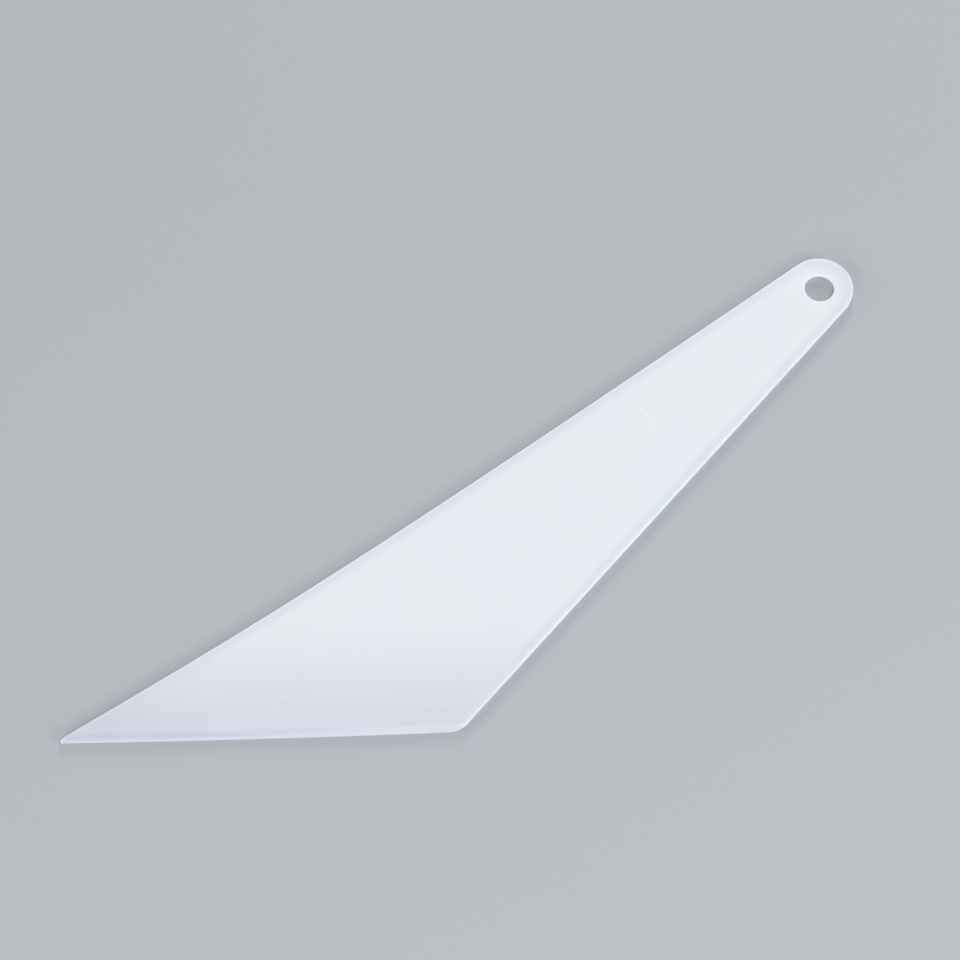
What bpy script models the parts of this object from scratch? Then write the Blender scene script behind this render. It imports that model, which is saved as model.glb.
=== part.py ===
"""Long-reach blade for scoring, creasing and smoothing: one flat piece of white plastic.

Seen from above the blade is a long triangle. The working edge runs along X at the
front, from a sharp tip on the left to a rounded heel on the right. From there the
body narrows to a round grip end with a hang hole. The blade is cut from one sheet,
so it is one piece with nothing inside it and nothing that moves. The origin is on
the underside, at the middle of the blade's bounding box.
"""
import bpy
import bmesh
from math import acos, asin, atan2, cos, pi, radians, sin
from mathutils import Vector
from mathutils.geometry import interpolate_bezier, intersect_line_line

# Driving dimensions, in metres. Places are measured along the working edge (X) and
# square to it (Y), from the point where the working edge leaves the tip.
THICKNESS = 0.0020
WORKING_RUN = 0.1284                  # between the tip's and the heel's arc centres
TIP_RADIUS = 0.0007
HEEL_RADIUS = 0.0088
CROWN_RADIUS = 4.9                    # the working edge bows out by less than half a millimetre
GRIP_CENTRE = Vector((0.2639, 0.1630))
GRIP_RADIUS = 0.0120
HANG_HOLE_RADIUS = 0.0052
BACK_ANGLE_AT_TIP = radians(31.1)     # the long back edge, against the working edge
BACK_ANGLE_AT_GRIP = radians(35.0)
BACK_GRIP_HANDLE = 1.00               # how far each handle of the back edge's curve
BACK_TIP_HANDLE = 0.77                # reaches towards the point where its tangents meet
BEVEL_WIDTH = 0.0019                  # of the bevel on top of the working edge
LIP_HEIGHT = 0.0008                   # what the bevel leaves standing at the edge
EDGE_ROUND = 0.0003                   # the small round on every other edge

ARC_STEP = radians(5.0)               # most that a round stretch turns between two points
CROWN_STEPS = 12
BACK_STEPS = 24
HOLE_STEPS = 64
ROUND_STEPS = 3
CUTTER_MARGIN = 0.010                 # how far the cutters reach past the blade

PLASTIC_COLOUR = (0.80, 0.83, 0.87, 1.0)
PLASTIC_ROUGHNESS = 0.38


def direction(angle):
    """The unit vector at an angle from +X."""
    return Vector((cos(angle), sin(angle)))


def arc(centre, radius, start, end):
    """Points on a circle from one angle to another, both ends included."""
    steps = max(2, round(abs(end - start) / ARC_STEP))
    return [centre + radius * direction(start + (end - start) * i / steps) for i in range(steps + 1)]


def crown_centre(tip, heel):
    """The centre of the large circle that holds the tip's and the heel's circles inside it."""
    between = heel - tip
    to_tip = CROWN_RADIUS - TIP_RADIUS
    to_heel = CROWN_RADIUS - HEEL_RADIUS
    cosine = (between.length_squared + to_tip ** 2 - to_heel ** 2) / (2 * between.length * to_tip)
    return tip + to_tip * direction(atan2(between.y, between.x) + acos(cosine))


def crown_points(centre, start, end):
    """The slightly bowed working edge, without its two ends."""
    return [centre + CROWN_RADIUS * direction(start + (end - start) * i / CROWN_STEPS)
            for i in range(1, CROWN_STEPS)]


def back_points(grip_end, tip_end):
    """The hollow back edge from the grip to the tip, without its two ends."""
    grip_tangent = Vector((cos(BACK_ANGLE_AT_GRIP), sin(BACK_ANGLE_AT_GRIP), 0))
    tip_tangent = Vector((cos(BACK_ANGLE_AT_TIP), sin(BACK_ANGLE_AT_TIP), 0))
    start = grip_end.to_3d()
    end = tip_end.to_3d()
    corner = intersect_line_line(start, start - grip_tangent, end, end + tip_tangent)[0]
    first_handle = start.lerp(corner, BACK_GRIP_HANDLE)
    last_handle = end.lerp(corner, BACK_TIP_HANDLE)
    curve = interpolate_bezier(start, first_handle, last_handle, end, BACK_STEPS + 1)
    return [point.to_2d() for point in curve[1:-1]]


def outline():
    """The blade seen from above, anticlockwise from where the working edge leaves the tip."""
    tip = Vector((0, TIP_RADIUS))
    heel = Vector((WORKING_RUN, HEEL_RADIUS))
    crown = crown_centre(tip, heel)
    tip_angle = atan2(tip.y - crown.y, tip.x - crown.x)
    heel_angle = atan2(heel.y - crown.y, heel.x - crown.x)
    run_up = GRIP_CENTRE - heel
    narrowing = asin((GRIP_RADIUS - HEEL_RADIUS) / run_up.length)
    side_angle = atan2(run_up.y, run_up.x) - pi / 2 - narrowing

    points = arc(tip, TIP_RADIUS, BACK_ANGLE_AT_TIP + pi / 2, tip_angle + 2 * pi)
    points += crown_points(crown, tip_angle, heel_angle)
    points += arc(heel, HEEL_RADIUS, heel_angle, side_angle)
    points += arc(GRIP_CENTRE, GRIP_RADIUS, side_angle, BACK_ANGLE_AT_GRIP + pi / 2)
    points += back_points(points[-1], points[0])
    return points, crown


def middle(points):
    """The middle of the outline's bounding box."""
    low = Vector((min(p.x for p in points), min(p.y for p in points)))
    high = Vector((max(p.x for p in points), max(p.y for p in points)))
    return (low + high) / 2


def plastic():
    """White semi-gloss sheet plastic."""
    material = bpy.data.materials.new("white_plastic")
    material.use_nodes = True
    shader = material.node_tree.nodes["Principled BSDF"]
    shader.inputs["Base Color"].default_value = PLASTIC_COLOUR
    shader.inputs["Roughness"].default_value = PLASTIC_ROUGHNESS
    shader.inputs["Metallic"].default_value = 0.0
    return material


def new_object(name, bm):
    """Turn a bmesh into a linked object with its faces pointing out."""
    bmesh.ops.recalc_face_normals(bm, faces=bm.faces)
    mesh = bpy.data.meshes.new(name)
    bm.to_mesh(mesh)
    bm.free()
    mesh.shade_smooth()
    mesh.set_sharp_from_angle(angle=radians(30))
    thing = bpy.data.objects.new(name, mesh)
    bpy.context.scene.collection.objects.link(thing)
    return thing


def prism(name, points, low, high):
    """An outline stood up between two heights."""
    bm = bmesh.new()
    floor = bm.faces.new([bm.verts.new((p.x, p.y, low)) for p in points])
    raised = bmesh.ops.extrude_face_region(bm, geom=[floor])["geom"]
    lifted = [v for v in raised if isinstance(v, bmesh.types.BMVert)]
    bmesh.ops.translate(bm, verts=lifted, vec=(0, 0, high - low))
    return new_object(name, bm)


def hang_hole_cutter(origin):
    """A round bar through the grip end."""
    centre = GRIP_CENTRE - origin
    rim = [centre + HANG_HOLE_RADIUS * direction(2 * pi * i / HOLE_STEPS) for i in range(HOLE_STEPS)]
    return prism("hang_hole_cutter", rim, -CUTTER_MARGIN, THICKNESS + CUTTER_MARGIN)


def bevel_cutter(crown, origin):
    """A long wedge that follows the bowed working edge and planes the bevel on its top."""
    slope = (THICKNESS - LIP_HEIGHT) / BEVEL_WIDTH
    section = [
        (CUTTER_MARGIN, LIP_HEIGHT - slope * CUTTER_MARGIN),
        (-BEVEL_WIDTH - CUTTER_MARGIN, THICKNESS + slope * CUTTER_MARGIN),
        (CUTTER_MARGIN, THICKNESS + slope * CUTTER_MARGIN),
    ]
    reach = CUTTER_MARGIN / CROWN_RADIUS
    start = atan2(-crown.y, -crown.x) - reach
    end = atan2(-crown.y, WORKING_RUN - crown.x) + reach
    bm = bmesh.new()
    rings = []
    for i in range(CROWN_STEPS + 1):
        outward = direction(start + (end - start) * i / CROWN_STEPS)
        places = [crown + (CROWN_RADIUS + out) * outward - origin for out, _ in section]
        rings.append([bm.verts.new((p.x, p.y, height)) for p, (_, height) in zip(places, section)])
    for here, there in zip(rings, rings[1:]):
        for j in range(len(section)):
            bm.faces.new((here[j - 1], here[j], there[j], there[j - 1]))
    bm.faces.new(rings[0])
    bm.faces.new(rings[-1])
    return new_object("bevel_cutter", bm)


def cut(target, cutter):
    """Take a cutter away from an object, and show the cutter only as a guide."""
    modifier = target.modifiers.new(cutter.name, "BOOLEAN")
    modifier.operation = "DIFFERENCE"
    modifier.solver = "EXACT"
    modifier.object = cutter
    cutter.hide_render = True
    cutter.display_type = "WIRE"


def round_edges(target):
    """Take the sharpness off the edges, as a scraper or a file does after cutting."""
    modifier = target.modifiers.new("edge_round", "BEVEL")
    modifier.width = EDGE_ROUND
    modifier.segments = ROUND_STEPS
    modifier.limit_method = "ANGLE"
    modifier.angle_limit = radians(45)


def build():
    for thing in list(bpy.data.objects):
        bpy.data.objects.remove(thing, do_unlink=True)
    points, crown = outline()
    origin = middle(points)
    blade = prism("blade", [p - origin for p in points], 0, THICKNESS)
    blade.data.materials.append(plastic())
    cut(blade, hang_hole_cutter(origin))
    round_edges(blade)
    cut(blade, bevel_cutter(crown, origin))


build()
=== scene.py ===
"""Looks of the long-reach scoring and smoothing blade: its fine surface, plastic, studio and camera.

The blade is one piece of white plastic. Lengths are in millimetres up to the point
where the mesh is made, and in metres after it. Places in the blade's plan are measured
along the working edge (X) and square to it (Y), from where the edge leaves the tip.
"""
from math import acos, asin, atan2, ceil, cos, hypot, pi, radians, sin, sqrt

import bpy
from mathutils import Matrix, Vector
from mathutils.geometry import delaunay_2d_cdt, interpolate_bezier, intersect_line_line


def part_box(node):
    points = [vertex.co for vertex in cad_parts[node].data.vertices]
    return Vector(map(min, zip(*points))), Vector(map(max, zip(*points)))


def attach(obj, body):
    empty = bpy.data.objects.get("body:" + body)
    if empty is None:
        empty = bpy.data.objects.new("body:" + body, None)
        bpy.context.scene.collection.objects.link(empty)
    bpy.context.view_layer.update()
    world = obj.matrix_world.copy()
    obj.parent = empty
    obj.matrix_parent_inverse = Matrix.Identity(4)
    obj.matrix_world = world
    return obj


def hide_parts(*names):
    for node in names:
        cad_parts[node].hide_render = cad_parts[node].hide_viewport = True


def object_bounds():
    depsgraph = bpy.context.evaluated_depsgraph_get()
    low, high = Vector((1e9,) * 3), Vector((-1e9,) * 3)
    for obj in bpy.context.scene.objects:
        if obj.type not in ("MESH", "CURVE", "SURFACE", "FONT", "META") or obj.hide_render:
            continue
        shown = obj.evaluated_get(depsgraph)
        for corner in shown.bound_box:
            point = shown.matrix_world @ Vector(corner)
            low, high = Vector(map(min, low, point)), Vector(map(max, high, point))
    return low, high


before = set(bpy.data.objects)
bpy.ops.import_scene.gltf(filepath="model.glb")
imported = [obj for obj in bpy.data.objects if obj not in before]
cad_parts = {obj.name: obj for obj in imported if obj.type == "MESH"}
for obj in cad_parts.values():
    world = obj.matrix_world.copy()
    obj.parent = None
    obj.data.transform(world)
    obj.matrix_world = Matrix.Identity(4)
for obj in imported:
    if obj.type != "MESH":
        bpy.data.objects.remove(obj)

CAD_LOW, CAD_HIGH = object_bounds()
MM = 0.001

# The blade's plan, in millimetres: the same driving dimensions as the solid it stands for.
WORKING_RUN = 128.4                   # between the tip's and the heel's arc centres
TIP_RADIUS = 0.7
HEEL_RADIUS = 8.8
CROWN_RADIUS = 4900.0                 # the working edge bows out by less than half a millimetre
GRIP_CENTRE = Vector((263.9, 163.0))
GRIP_RADIUS = 12.0
HANG_HOLE_RADIUS = 5.2
BACK_ANGLE_AT_TIP = radians(31.1)
BACK_ANGLE_AT_GRIP = radians(35.0)
BACK_GRIP_HANDLE = 1.00
BACK_TIP_HANDLE = 0.77

# The blade's section, in millimetres.
THICKNESS = (CAD_HIGH.z - CAD_LOW.z) / MM
TOP_ROUND = 0.45                      # edges worn soft on the side that faces up
UNDER_ROUND = 0.30
BEVEL_WIDTH = 1.9
BEVEL_DEPTH = 1.2
BEVEL_CROWN = 1.4                     # 1 is a flat bevel, 2 a fully rounded one
SCRAPE_DEPTH = 0.025                  # the faint line that the scraper left where the bevel starts
SCRAPE_WIDTH = 0.35
SKIN_CLEARANCE = 0.02                 # keeps the fine outline inside the solid's box

# Wear and painted shade, in millimetres. Its places are in the blade's own frame, not along the working edge.
TIP_END = (CAD_LOW.x / MM, CAD_LOW.y / MM, THICKNESS / 2)
GRIP_END = (CAD_HIGH.x / MM, CAD_HIGH.y / MM - 0.6 * GRIP_RADIUS, THICKNESS / 2)
EDGE_BAND = 1.3                       # how far in from the outer edge the painted edge shade is darkest
LINE_SHIFT = 0.3                      # from where the bevel starts to the middle of its painted shade line
HAIRLINE_CENTRE = (53.4, 20.5, THICKNESS)     # of the circle that the hairline follows
HAIRLINE_RADIUS = 11.6
HAIRLINE_MIDDLE = (63.4, 26.3, THICKNESS)
RUB_MIDDLES = ((40.4, 12.6), (54.2, 12.1))
RUB_STRETCH = 3.0                     # how many times longer than wide a rub is

# How finely the mesh is divided.
ROUND_STEPS = 6
EDGE_SPACING = 1.6
TURN_STEP = radians(4.0)
HOLE_STEPS = 80
BEVEL_ROWS = (0.7, 0.95, 1.2, 1.4, 1.55, 1.7, 1.8, 1.9, 2.0, 2.1, 2.25, 2.5, 3.0)
FACE_GRID = 4.0
ROW_CLEARANCE = 0.2                   # between the bevel's rows and the round of the edge


def direction(angle):
    """The unit vector at an angle from +X."""
    return Vector((cos(angle), sin(angle)))


def arc(centre, radius, start, end):
    """Points on a circle between two angles, without the last one."""
    steps = max(ceil(abs(end - start) / TURN_STEP), ceil(abs(end - start) * radius / EDGE_SPACING))
    return [centre + radius * direction(start + (end - start) * i / steps) for i in range(steps)]


def straight(start, end):
    """Points on a line, without the last one."""
    steps = ceil((end - start).length / EDGE_SPACING)
    return [start.lerp(end, i / steps) for i in range(steps)]


def crown_centre(tip, heel):
    """The centre of the large circle that holds the tip's and the heel's circles inside it."""
    between = heel - tip
    to_tip = CROWN_RADIUS - TIP_RADIUS
    to_heel = CROWN_RADIUS - HEEL_RADIUS
    cosine = (between.length_squared + to_tip ** 2 - to_heel ** 2) / (2 * between.length * to_tip)
    return tip + to_tip * direction(atan2(between.y, between.x) + acos(cosine))


def back_edge(grip_end, tip_end):
    """The hollow back edge from the grip to the tip, without its last point."""
    start = grip_end.to_3d()
    end = tip_end.to_3d()
    corner = intersect_line_line(
        start, start - direction(BACK_ANGLE_AT_GRIP).to_3d(),
        end, end + direction(BACK_ANGLE_AT_TIP).to_3d())[0]
    steps = ceil((end - start).length / EDGE_SPACING)
    curve = interpolate_bezier(start, start.lerp(corner, BACK_GRIP_HANDLE),
                               end.lerp(corner, BACK_TIP_HANDLE), end, steps + 1)
    return [point.to_2d() for point in curve[:-1]]


TIP_CENTRE = Vector((0.0, TIP_RADIUS))
HEEL_CENTRE = Vector((WORKING_RUN, HEEL_RADIUS))
CROWN_CENTRE = crown_centre(TIP_CENTRE, HEEL_CENTRE)


def outline():
    """The blade seen from above, anticlockwise, starting on the tip's back side."""
    tip_angle = atan2(TIP_CENTRE.y - CROWN_CENTRE.y, TIP_CENTRE.x - CROWN_CENTRE.x)
    heel_angle = atan2(HEEL_CENTRE.y - CROWN_CENTRE.y, HEEL_CENTRE.x - CROWN_CENTRE.x)
    run_up = GRIP_CENTRE - HEEL_CENTRE
    narrowing = asin((GRIP_RADIUS - HEEL_RADIUS) / run_up.length)
    side_angle = atan2(run_up.y, run_up.x) - pi / 2 - narrowing
    back_normal = BACK_ANGLE_AT_GRIP + pi / 2

    points = arc(TIP_CENTRE, TIP_RADIUS, BACK_ANGLE_AT_TIP + pi / 2, tip_angle + 2 * pi)
    points += arc(CROWN_CENTRE, CROWN_RADIUS, tip_angle, heel_angle)
    points += arc(HEEL_CENTRE, HEEL_RADIUS, heel_angle, side_angle)
    points += straight(HEEL_CENTRE + HEEL_RADIUS * direction(side_angle),
                       GRIP_CENTRE + GRIP_RADIUS * direction(side_angle))
    points += arc(GRIP_CENTRE, GRIP_RADIUS, side_angle, back_normal)
    points += back_edge(GRIP_CENTRE + GRIP_RADIUS * direction(back_normal), points[0])
    return points


def hang_hole():
    """The rim of the hang hole, clockwise, so that the plastic lies to its left as well."""
    return [GRIP_CENTRE + HANG_HOLE_RADIUS * direction(-2 * pi * i / HOLE_STEPS) for i in range(HOLE_STEPS)]


def crown_y(x):
    """Where the working edge, carried on past both ends, stands at a place along it."""
    return CROWN_CENTRE.y - sqrt(CROWN_RADIUS ** 2 - (x - CROWN_CENTRE.x) ** 2)


def bevel_drop(point):
    """How far the top has been cut down by the bevel at a place near the working edge."""
    reach = max(0.0, point.y - crown_y(point.x))
    bevel = BEVEL_DEPTH * max(0.0, 1 - reach / BEVEL_WIDTH) ** BEVEL_CROWN
    line = SCRAPE_DEPTH * max(0.0, 1 - abs(reach - BEVEL_WIDTH) / SCRAPE_WIDTH) ** 2
    return bevel + line


def into_plastic(loop):
    """For each point of a loop with the plastic on its left, the unit vector into the plastic."""
    normals = []
    for i in range(len(loop)):
        along = loop[(i + 1) % len(loop)] - loop[i - 1]
        normals.append(Vector((-along.y, along.x)).normalized())
    return normals


class Skin:
    """The blade's surface as it is put together: points, faces, and each point's distance from the edges."""

    def __init__(self):
        self.points = []
        self.faces = []
        self.edge_distance = []
        self.working_edge_distance = []

    def add_point(self, place, height, edge_distance):
        self.points.append((place.x, place.y, height))
        self.edge_distance.append(edge_distance)
        self.working_edge_distance.append(max(0.0, place.y - crown_y(place.x)))
        return len(self.points) - 1

    def add_ring(self, loop, normals, inset, from_outline, height):
        places = [p + n * (inset + SKIN_CLEARANCE) for p, n in zip(loop, normals)]
        return [self.add_point(place, height(place), abs(from_outline - inset)) for place in places]

    def add_strip(self, upper, lower):
        for i in range(len(upper)):
            self.faces.append((lower[i - 1], lower[i], upper[i], upper[i - 1]))

    def add_rim(self, loop, from_outline):
        """Wrap an edge from the top face down to the underside, and return the rings at both ends."""
        normals = into_plastic(loop)
        turns = [pi / 2 * i / ROUND_STEPS for i in range(ROUND_STEPS + 1)]
        rings = []
        for turn in reversed(turns):
            fall = TOP_ROUND * (1 - sin(turn))
            rings.append(self.add_ring(loop, normals, TOP_ROUND * (1 - cos(turn)), from_outline,
                                       lambda place: THICKNESS - fall - bevel_drop(place)))
        for turn in turns:
            rise = UNDER_ROUND * (1 - sin(turn))
            rings.append(self.add_ring(loop, normals, UNDER_ROUND * (1 - cos(turn)), from_outline,
                                       lambda place: rise))
        for upper, lower in zip(rings, rings[1:]):
            self.add_strip(upper, lower)
        return rings[0], rings[-1]

    def add_face(self, rings, rim, inner_points, inner_chains, height, upward):
        """Fill the flat between the outer ring and the hole's with triangles through the inner points."""
        known = [index for ring in rings for index in ring]
        places = [Vector(self.points[index][:2]) for index in known]
        borders = []
        for ring in rings:
            first = sum(len(border) for border in borders)
            borders.append(list(range(first, first + len(ring))))
        links = [(border[i - 1], border[i]) for border in borders for i in range(len(border))]
        for chain in inner_chains:
            first = len(places)
            places += chain
            links += [(first + i - 1, first + i) for i in range(1, len(chain))]
        places += inner_points
        spots, _, triangles, origins, _, _ = delaunay_2d_cdt(places, links, [borders[0]], 1, 1e-5)
        indices = []
        for spot, origin in zip(spots, origins):
            borrowed = [known[o] for o in origin if o < len(known)]
            if borrowed:
                indices.append(borrowed[0])
            else:
                indices.append(self.add_point(spot, height(spot), distance_to_rim(spot, rim)))
        hole_ring = set(rings[1])             # a triangle with all its corners here would fill the hole
        for a, b, c in triangles:
            if hole_ring.issuperset((indices[a], indices[b], indices[c])):
                continue
            facing_up = (spots[b] - spots[a]).cross(spots[c] - spots[a]) > 0
            corners = (a, b, c) if facing_up == upward else (a, c, b)
            self.faces.append(tuple(indices[corner] for corner in corners))


def distance_to_rim(place, rim):
    """The distance from a place to the nearest point of the outline."""
    best = float("inf")
    for i in range(len(rim)):
        side = rim[i] - rim[i - 1]
        share = max(0.0, min(1.0, (place - rim[i - 1]).dot(side) / side.length_squared))
        offset = place - rim[i - 1] - side * share
        best = min(best, hypot(offset.x, offset.y))
    return best


def is_inside(place, loop):
    """True if a place lies inside a closed outline."""
    inside = False
    for i in range(len(loop)):
        a, b = loop[i - 1], loop[i]
        if (a.y > place.y) != (b.y > place.y):
            crossing = a.x + (b.x - a.x) * (place.y - a.y) / (b.y - a.y)
            if place.x < crossing:
                inside = not inside
    return inside


def is_clear(place, rim, margin):
    """True if a place on the blade is farther than a margin from the outline and from the hang hole."""
    if (place - GRIP_CENTRE).length < HANG_HOLE_RADIUS + margin:
        return False
    return is_inside(place, rim) and distance_to_rim(place, rim) > margin


def bevel_chains(rim):
    """Rows of points along the bevel, each cut off where it would leave the flat of the top."""
    chains = []
    for reach in BEVEL_ROWS:
        row = [Vector((i * EDGE_SPACING, crown_y(i * EDGE_SPACING) + reach))
               for i in range(ceil(1.2 * WORKING_RUN / EDGE_SPACING))]
        chains.append([place for place in row if is_clear(place, rim, TOP_ROUND + ROW_CLEARANCE)])
    return chains


def face_points(rim):
    """A staggered grid over the flat of the blade, clear of the bevel and of every edge."""
    points = []
    row_height = FACE_GRID * sqrt(3) / 2
    for row in range(ceil((GRIP_CENTRE.y + GRIP_RADIUS) / row_height)):
        y = BEVEL_ROWS[-1] + 0.5 * FACE_GRID + row * row_height
        for column in range(ceil((GRIP_CENTRE.x + GRIP_RADIUS) / FACE_GRID)):
            place = Vector((FACE_GRID * (column + 0.5 * (row % 2)), y))
            if is_clear(place, rim, 0.4 * FACE_GRID):
                points.append(place)
    return points


def make_blade():
    """The blade with its soft edges and bevelled working edge, in metres, in the frame's place."""
    rim = outline()
    skin = Skin()
    rim_top, rim_under = skin.add_rim(rim, 0.0)
    hole_top, hole_under = skin.add_rim(hang_hole(), GRIP_RADIUS - HANG_HOLE_RADIUS)
    grid = face_points(rim)
    skin.add_face([rim_top, hole_top], rim, grid, bevel_chains(rim),
                  lambda place: THICKNESS - bevel_drop(place), upward=True)
    skin.add_face([rim_under, hole_under], rim, grid, [], lambda place: 0.0, upward=False)

    low_x = min(p.x for p in rim)
    high_x = max(p.x for p in rim)
    low_y = min(p.y for p in rim)
    high_y = max(p.y for p in rim)
    solid_low, solid_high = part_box("blade")
    shift = Vector(((solid_low.x + solid_high.x) / 2, (solid_low.y + solid_high.y) / 2, solid_low.z))
    middle = Vector(((low_x + high_x) / 2, (low_y + high_y) / 2, 0.0))

    mesh = bpy.data.meshes.new("scoring_blade")
    mesh.from_pydata([(Vector(p) - middle) * MM + shift for p in skin.points], [], skin.faces)
    for name in ("edge_distance", "working_edge_distance"):
        attribute = mesh.attributes.new(name, "FLOAT", "POINT")
        attribute.data.foreach_set("value", getattr(skin, name))
    mesh.shade_smooth()
    mesh.validate()
    blade = bpy.data.objects.new("scoring_blade", mesh)
    bpy.context.scene.collection.objects.link(blade)
    return blade


def linear(hex_colour):
    """An sRGB hex colour as linear RGBA."""
    channels = [int(hex_colour[i:i + 2], 16) / 255 for i in (1, 3, 5)]
    return [c / 12.92 if c <= 0.04045 else ((c + 0.055) / 1.055) ** 2.4 for c in channels] + [1.0]


def add(tree, kind, inputs=None, **settings):
    """Add a shader node with its settings, and set or link each of its named or numbered inputs."""
    node = tree.nodes.new(kind)
    for name, value in settings.items():
        setattr(node, name, value)
    for name, value in (inputs or {}).items():
        if isinstance(value, bpy.types.NodeSocket):
            tree.links.new(value, node.inputs[name])
        else:
            node.inputs[name].default_value = value
    return node


def new_material(name):
    """An empty material and the shader that its nodes feed."""
    material = bpy.data.materials.new(name)
    material.use_nodes = True
    return material, material.node_tree, material.node_tree.nodes["Principled BSDF"]


def white_with_painted_shade(tree, millimetres, edge, reach):
    """The plastic's own white, with painted shade along its edges, over the front, at the tip and at the
    grip's end.
    """
    # The melt's flow: patches some 45 mm long that hardly differ in tone.
    flow = add(tree, "ShaderNodeTexNoise", {"Vector": millimetres, "Scale": 1 / 45, "Detail": 2.0})
    white = add(tree, "ShaderNodeMix", {"Factor": flow.outputs["Fac"], "A": linear("#eef1f6"),
                                        "B": linear("#e9eef6")}, data_type="RGBA")
    # Painted shade along the outer edges, for the light lost through them: most of it just inside their
    # round.
    off_band = add(tree, "ShaderNodeMath", {0: edge, 1: EDGE_BAND}, operation="SUBTRACT").outputs[0]
    band_distance = add(tree, "ShaderNodeMath", {0: off_band}, operation="ABSOLUTE").outputs[0]
    painted_edge_shade = add(tree, "ShaderNodeMapRange", {"Value": band_distance, "From Min": 0.0, "From Max": 3.0,
                                            "To Min": 0.62, "To Max": 0.0}, interpolation_type="SMOOTHSTEP")
    edge_shaded = add(tree, "ShaderNodeMix", {"Factor": painted_edge_shade.outputs[0], "A": white.outputs["Result"],
                                        "B": linear("#d9dee8")}, data_type="RGBA")
    # Painted shade over the front 45 mm: darker and bluer towards the working edge.
    front = add(tree, "ShaderNodeMapRange", {"Value": reach, "From Min": 0.0, "From Max": 45.0,
                                             "To Min": 1.0, "To Max": 0.0}, interpolation_type="SMOOTHSTEP")
    front_shaded = add(tree, "ShaderNodeMix", {"Factor": front.outputs[0], "A": edge_shaded.outputs["Result"],
                                          "B": linear("#dcdee8")}, data_type="RGBA")
    # Painted shade at the end of the grip and over the tip: both greyer, with soft borders.
    from_grip = add(tree, "ShaderNodeVectorMath", {0: millimetres, 1: GRIP_END}, operation="DISTANCE")
    grip_end_shade = add(tree, "ShaderNodeMapRange", {"Value": from_grip.outputs["Value"],
                                             "From Min": 2.0, "From Max": 20.0,
                                             "To Min": 0.15, "To Max": 0.0}, interpolation_type="SMOOTHSTEP")
    from_tip = add(tree, "ShaderNodeVectorMath", {0: millimetres, 1: TIP_END}, operation="DISTANCE")
    tip_shade = add(tree, "ShaderNodeMapRange", {"Value": from_tip.outputs["Value"],
                                            "From Min": 0.0, "From Max": 57.0,
                                            "To Min": 0.36, "To Max": 0.0}, interpolation_type="SMOOTHSTEP")
    tip_and_grip_shade = add(tree, "ShaderNodeMath", {0: grip_end_shade.outputs[0], 1: tip_shade.outputs[0]}, operation="ADD")
    return add(tree, "ShaderNodeMix", {"Factor": tip_and_grip_shade.outputs[0], "A": front_shaded.outputs["Result"],
                                       "B": linear("#c9ced9")}, data_type="RGBA").outputs["Result"]


def scraper_streaks(tree, millimetres, reach):
    """Streaks that the scraper left along the working edge: about 40 mm long and 2 mm wide."""
    stretch = add(tree, "ShaderNodeMapping", {"Vector": millimetres, "Scale": (1 / 40, 1 / 2.0, 1 / 40)})
    streaks = add(tree, "ShaderNodeTexNoise", {"Vector": stretch.outputs[0], "Scale": 1.0, "Detail": 4.0,
                                               "Roughness": 0.6})
    scraped = add(tree, "ShaderNodeMapRange", {"Value": reach, "From Min": 4.0, "From Max": 30.0,
                                               "To Min": 1.0, "To Max": 0.0}, interpolation_type="SMOOTHSTEP")
    dark_streaks = add(tree, "ShaderNodeMapRange", {"Value": streaks.outputs["Fac"], "From Min": 0.40,
                                                    "From Max": 0.75, "To Min": 0.0, "To Max": 0.12})
    return add(tree, "ShaderNodeMath", {0: scraped.outputs[0], 1: dark_streaks.outputs[0]},
               operation="MULTIPLY").outputs[0]


def bevel_painted_shade(tree, millimetres, reach):
    """The painted shade on the bevel and a darker painted line where it starts, soft-sided and gone towards
    the heel.
    """
    off_line = add(tree, "ShaderNodeMath", {0: reach, 1: BEVEL_WIDTH - LINE_SHIFT},
                   operation="SUBTRACT").outputs[0]
    line_distance = add(tree, "ShaderNodeMath", {0: off_line}, operation="ABSOLUTE").outputs[0]
    near_line = add(tree, "ShaderNodeMapRange", {"Value": line_distance, "From Min": 0.0, "From Max": 1.9,
                                                 "To Min": 0.40, "To Max": 0.0},
                    interpolation_type="SMOOTHSTEP")
    along = add(tree, "ShaderNodeSeparateXYZ", {0: millimetres}).outputs["X"]
    fading = add(tree, "ShaderNodeMapRange", {"Value": along, "From Min": -100.0, "From Max": -25.0,
                                              "To Min": 1.0, "To Max": 0.0}, interpolation_type="SMOOTHSTEP")
    line = add(tree, "ShaderNodeMath", {0: near_line.outputs[0], 1: fading.outputs[0]}, operation="MULTIPLY")
    bevel_shade = add(tree, "ShaderNodeMapRange", {"Value": reach, "From Min": 1.1, "From Max": 2.1,
                                              "To Min": 0.25, "To Max": 0.0}, interpolation_type="SMOOTHSTEP")
    return add(tree, "ShaderNodeMath", {0: line.outputs[0], 1: bevel_shade.outputs[0]}, operation="ADD").outputs[0]


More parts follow.
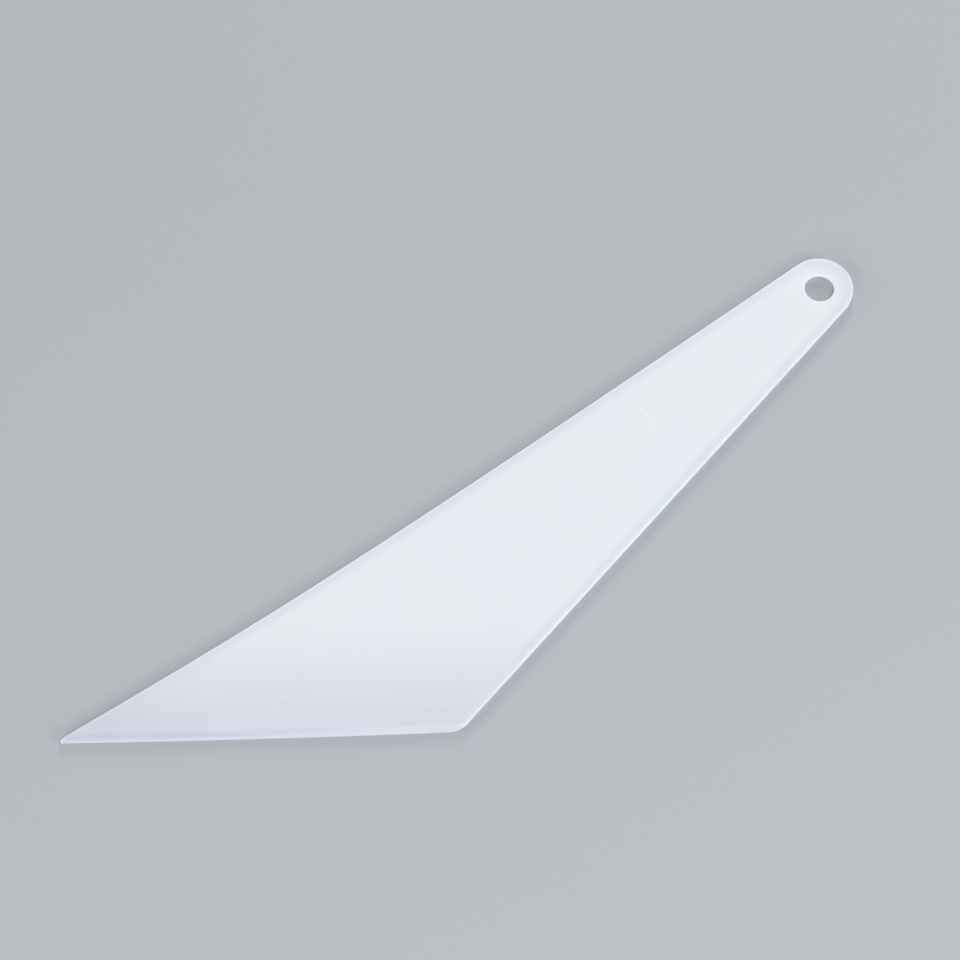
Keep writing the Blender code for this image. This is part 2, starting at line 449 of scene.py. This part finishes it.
def faint_scuffs(tree, millimetres):
    """Scuffs from use, a little lighter: a curved hairline 11 mm long and two rubs 4 mm long."""
    from_centre = add(tree, "ShaderNodeVectorMath", {0: millimetres, 1: HAIRLINE_CENTRE},
                      operation="DISTANCE")
    off_curve = add(tree, "ShaderNodeMath", {0: from_centre.outputs["Value"], 1: HAIRLINE_RADIUS},
                    operation="SUBTRACT").outputs[0]
    curve_distance = add(tree, "ShaderNodeMath", {0: off_curve}, operation="ABSOLUTE").outputs[0]
    hairline = add(tree, "ShaderNodeMapRange", {"Value": curve_distance, "From Min": 0.1, "From Max": 0.7,
                                                "To Min": 0.3, "To Max": 0.0},
                   interpolation_type="SMOOTHSTEP")
    from_middle = add(tree, "ShaderNodeVectorMath", {0: millimetres, 1: HAIRLINE_MIDDLE},
                      operation="DISTANCE")
    ends = add(tree, "ShaderNodeMapRange", {"Value": from_middle.outputs["Value"],
                                            "From Min": 4.0, "From Max": 6.5,
                                            "To Min": 1.0, "To Max": 0.0}, interpolation_type="SMOOTHSTEP")
    scuffs = add(tree, "ShaderNodeMath", {0: hairline.outputs[0], 1: ends.outputs[0]},
                 operation="MULTIPLY").outputs[0]
    squeezed = add(tree, "ShaderNodeMapping", {"Vector": millimetres, "Scale": (1 / RUB_STRETCH, 1.0, 1.0)})
    for x, y in RUB_MIDDLES:
        middle = (x / RUB_STRETCH, y, THICKNESS)
        from_rub = add(tree, "ShaderNodeVectorMath", {0: squeezed.outputs[0], 1: middle},
                       operation="DISTANCE")
        rub = add(tree, "ShaderNodeMapRange", {"Value": from_rub.outputs["Value"],
                                               "From Min": 0.2, "From Max": 0.9,
                                               "To Min": 0.2, "To Max": 0.0}, interpolation_type="SMOOTHSTEP")
        scuffs = add(tree, "ShaderNodeMath", {0: scuffs, 1: rub.outputs[0]}, operation="ADD").outputs[0]
    return scuffs


def moulded_polypropylene():
    """Polypropylene, coloured white and moulded.

    The eye gets a milky, slightly waxy white with a broad soft gloss. Light sinks in by
    a few millimetres. The colour holds painted shade: cooler and a little darker along the edges,
    over the front towards the working edge, at the tip, at the grip's end and on the bevel.
    """
    material, tree, shader = new_material("moulded_polypropylene")
    place = add(tree, "ShaderNodeTexCoord").outputs["Object"]
    millimetres = add(tree, "ShaderNodeVectorMath", {0: place, "Scale": 1 / MM}, operation="SCALE").outputs[0]
    edge = add(tree, "ShaderNodeAttribute", attribute_name="edge_distance").outputs["Fac"]
    reach = add(tree, "ShaderNodeAttribute", attribute_name="working_edge_distance").outputs["Fac"]

    # Colour: the white with its painted shade, then the scraper's greyer streaks with the painted shade of
    # the bevel and its line, then the lighter scuffs.
    white = white_with_painted_shade(tree, millimetres, edge, reach)
    streaks = scraper_streaks(tree, millimetres, reach)
    streaks_and_bevel_shade = add(tree, "ShaderNodeMath", {0: streaks, 1: bevel_painted_shade(tree, millimetres, reach)},
                operation="ADD").outputs[0]
    streaked_and_shaded = add(tree, "ShaderNodeMix", {"Factor": streaks_and_bevel_shade, "A": white,
                                         "B": linear("#b4bacb")}, data_type="RGBA")
    scuffed = add(tree, "ShaderNodeMix", {"Factor": faint_scuffs(tree, millimetres),
                                          "A": streaked_and_shaded.outputs["Result"],
                                          "B": linear("#fbfcfd")}, data_type="RGBA")
    tree.links.new(scuffed.outputs["Result"], shader.inputs["Base Color"])

    # Gloss: even, with the scraper's streaks, the bevel and its line, and a fine handling haze a little
    # duller.
    haze = add(tree, "ShaderNodeTexNoise", {"Vector": millimetres, "Scale": 1 / 9, "Detail": 4.0})
    gloss = add(tree, "ShaderNodeMapRange", {"Value": haze.outputs["Fac"], "From Min": 0.3, "From Max": 0.7,
                                             "To Min": 0.42, "To Max": 0.50})
    rough = add(tree, "ShaderNodeMath", {0: gloss.outputs[0], 1: streaks_and_bevel_shade}, operation="ADD")
    tree.links.new(rough.outputs[0], shader.inputs["Roughness"])

    # Relief: a fine moulded grain, drawn at 0.9 mm where the real one is nearer 0.2 mm.
    grain = add(tree, "ShaderNodeTexNoise", {"Vector": millimetres, "Scale": 1 / 0.9, "Detail": 2.0})
    relief = add(tree, "ShaderNodeMath", {0: grain.outputs["Fac"], 1: streaks}, operation="SUBTRACT")
    bump = add(tree, "ShaderNodeBump", {"Height": relief.outputs[0], "Distance": 0.006 * MM, "Strength": 1.0})
    tree.links.new(bump.outputs[0], shader.inputs["Normal"])

    shader.inputs["IOR"].default_value = 1.49
    shader.inputs["Subsurface Weight"].default_value = 0.7
    shader.inputs["Subsurface Radius"].default_value = (1.0, 1.0, 1.1)
    shader.inputs["Subsurface Scale"].default_value = 3.0 * MM
    return material


def camera():
    """A long lens, looking down on the blade from the working edge's side."""
    aim = Vector((0.0040, 0.0053, 0.0))
    azimuth, elevation, distance = radians(-1.73), radians(65.0), 1.138
    back = Vector((sin(azimuth) * cos(elevation), -cos(azimuth) * cos(elevation), sin(elevation)))
    data = bpy.data.cameras.new("camera")
    data.sensor_width = 36.0
    data.lens = 123.75
    thing = bpy.data.objects.new("camera", data)
    thing.location = aim + back * distance
    thing.rotation_euler = (-back).to_track_quat("-Z", "Y").to_euler()
    bpy.context.scene.collection.objects.link(thing)
    bpy.context.scene.camera = thing


def floor():
    """A plain pale card floor, matt and just under the blade."""
    size, gap = 3.0, 0.0001
    mesh = bpy.data.meshes.new("floor")
    mesh.from_pydata([(x * size, y * size, CAD_LOW.z - gap) for x, y in ((-1, -1), (1, -1), (1, 1), (-1, 1))],
                     [], [(0, 1, 2, 3)])
    material, tree, shader = new_material("studio_floor")
    shader.inputs["Base Color"].default_value = linear("#b8bbbf")
    shader.inputs["Roughness"].default_value = 0.9
    shader.inputs["Specular IOR Level"].default_value = 0.1
    mesh.materials.append(material)
    thing = bpy.data.objects.new("floor", mesh)
    bpy.context.scene.collection.objects.link(thing)


def softbox(name, azimuth, elevation, power):
    """A square area light that faces the blade from 1.6 m away; azimuth 0 is +X."""
    size, distance = 0.5, 1.6
    side = direction(radians(azimuth)) * cos(radians(elevation))
    back = Vector((side.x, side.y, sin(radians(elevation))))
    data = bpy.data.lights.new(name, "AREA")
    data.shape = "SQUARE"
    data.size = size
    data.energy = power
    data.color = linear("#fbfdff")[:3]
    thing = bpy.data.objects.new(name, data)
    thing.location = back * distance
    thing.rotation_euler = back.to_track_quat("Z", "Y").to_euler()
    thing.visible_camera = False
    bpy.context.scene.collection.objects.link(thing)


def studio():
    """Plain soft light: low softboxes all round, to keep every wall bright, one above, and a pale room."""
    softbox("left_softbox", 180, 17, 5.8)
    softbox("front_softbox", -120, 17, 9.2)
    softbox("right_softbox", -30, 17, 10.2)
    softbox("back_softbox", 80, 20, 12.4)
    softbox("upper_softbox", -60, 60, 7.1)
    world = bpy.data.worlds.new("pale_room")
    world.use_nodes = True
    background = world.node_tree.nodes["Background"]
    background.inputs["Color"].default_value = linear("#f4f7fa")
    background.inputs["Strength"].default_value = 0.378
    bpy.context.scene.world = world
    bpy.context.scene.view_settings.view_transform = "Standard"


blade = make_blade()
blade.data.materials.append(moulded_polypropylene())
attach(blade, "root")
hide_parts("blade")
floor()
studio()
camera()
